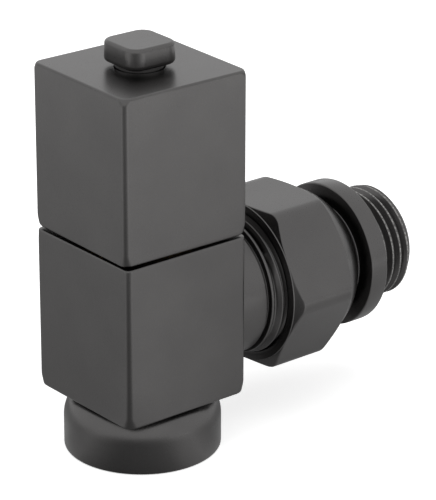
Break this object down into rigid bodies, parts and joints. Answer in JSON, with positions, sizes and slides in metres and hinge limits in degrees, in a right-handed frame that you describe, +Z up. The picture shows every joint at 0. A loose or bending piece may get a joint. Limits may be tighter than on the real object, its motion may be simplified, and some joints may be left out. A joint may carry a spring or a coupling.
{
  "type": "angled radiator valve",
  "caption": "Square angled radiator valve with a block handwheel, a compression pipe inlet and a union tail with a male thread for the radiator.",
  "frame": {"origin": "centre of the square body's underside, on the axis of the pipe socket and the spindle", "axes": "+Z up the spindle, +X out of the outlet towards the radiator"},
  "size_m": [0.0702, 0.0338, 0.0757],
  "materials": {
    "anthracite": "satin anthracite metal over brass",
    "brass": "turned",
    "steel": "plain",
    "rubber": "matt black",
    "ptfe": "waxy white"
  },
  "bodies": {
    "valve": {"valve_body": "anthracite", "bonnet": "brass", "bonnet_seal": "rubber", "thrust_washer": "ptfe"},
    "handwheel": {"handwheel": "anthracite", "top_knob": "anthracite", "knob_grip_ring": "rubber", "handwheel_screw": "steel", "spindle": "brass", "spindle_o_rings": "rubber", "spindle_circlip": "steel"},
    "plunger": {"plunger": "brass", "seat_washer": "rubber", "washer_screw": "steel"},
    "tail": {"tailpiece": "anthracite", "tail_retaining_ring": "steel", "tail_seal": "rubber", "radiator_seal": "rubber"},
    "union_nut": {"union_nut": "anthracite"},
    "olive": {"olive": "brass"},
    "inlet_nut": {"inlet_nut": "anthracite"}
  },
  "joints": [
    {"name": "handwheel_turn", "type": "hinge", "parent": "valve", "child": "handwheel", "pos_m": [0, 0, 0.05], "axis": [0, 0, 1], "range_deg": [0, 1080]},
    {"name": "plunger_lift", "type": "slide", "parent": "valve", "child": "plunger", "axis": [0, 0, 1], "range_m": [0, 0.00451]},
    {"name": "tail_slide", "type": "slide", "parent": "valve", "child": "tail", "axis": [1, 0, 0], "range_m": [0, 0.00636]},
    {"name": "union_nut_turn", "type": "hinge", "parent": "tail", "child": "union_nut", "pos_m": [0.032, 0, 0.0148], "axis": [1, 0, 0], "range_deg": [0, 1260]},
    {"name": "olive_drop", "type": "slide", "parent": "valve", "child": "olive", "axis": [0, 0, -1], "range_m": [0, 0.00546]},
    {"name": "inlet_nut_turn", "type": "hinge", "parent": "olive", "child": "inlet_nut", "pos_m": [0, 0, -0.005], "axis": [0, 0, -1], "range_deg": [0, 1080]}
  ],
  "couplings": [
    {"joint": "plunger_lift", "follows": "handwheel_turn", "m_per_rad": 0.00023873},
    {"joint": "tail_slide", "follows": "union_nut_turn", "m_per_rad": 0.00028871},
    {"joint": "olive_drop", "follows": "inlet_nut_turn", "m_per_rad": 0.00028871}
  ]
}
